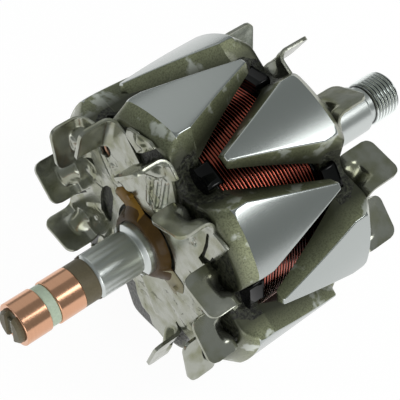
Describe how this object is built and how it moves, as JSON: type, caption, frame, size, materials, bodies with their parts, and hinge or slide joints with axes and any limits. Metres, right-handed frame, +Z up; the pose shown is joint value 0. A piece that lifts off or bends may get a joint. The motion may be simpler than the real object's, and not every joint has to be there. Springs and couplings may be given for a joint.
{
  "type": "alternator rotor",
  "caption": "Wound claw-pole rotor of a vehicle alternator: interleaved claws round a copper coil, bent-blade fans at both ends, a threaded drive end and copper slip rings on the tail.",
  "frame": {"origin": "on the floor under the middle of the rotor's length, as it lies on its claws", "axes": "+X along the shaft towards the drive end, +Z up from the floor"},
  "size_m": [0.1582, 0.095, 0.095],
  "materials": {
    "shaft_steel": "ground and polished",
    "forged_steel": "forged, with turned outer faces",
    "enamelled_copper": "enamelled wire",
    "bobbin_moulding": "glossy moulded black",
    "fan_sheet": "bright rolled sheet, lightly oiled",
    "brown_resin": "cast resin",
    "olive_moulding": "moulded, dull",
    "ring_copper": "turned copper",
    "mint_moulding": "moulded, satin",
    "terminal_metal": "tinned"
  },
  "bodies": {
    "root": {"shaft": "shaft_steel", "rear_claw_pole": "forged_steel", "front_claw_pole": "forged_steel", "field_coil": "enamelled_copper", "coil_bobbin": "bobbin_moulding", "rear_fan": "fan_sheet", "front_fan": "fan_sheet", "lead_insulator": "brown_resin", "coil_lead_upper": "enamelled_copper", "coil_lead_lower": "enamelled_copper", "lead_strip_upper": "brown_resin", "lead_strip_lower": "brown_resin", "slip_ring_hub": "olive_moulding", "slip_ring_inner": "ring_copper", "slip_ring_outer": "ring_copper", "ring_spacer": "mint_moulding", "end_terminal": "terminal_metal"}
  },
  "joints": []
}
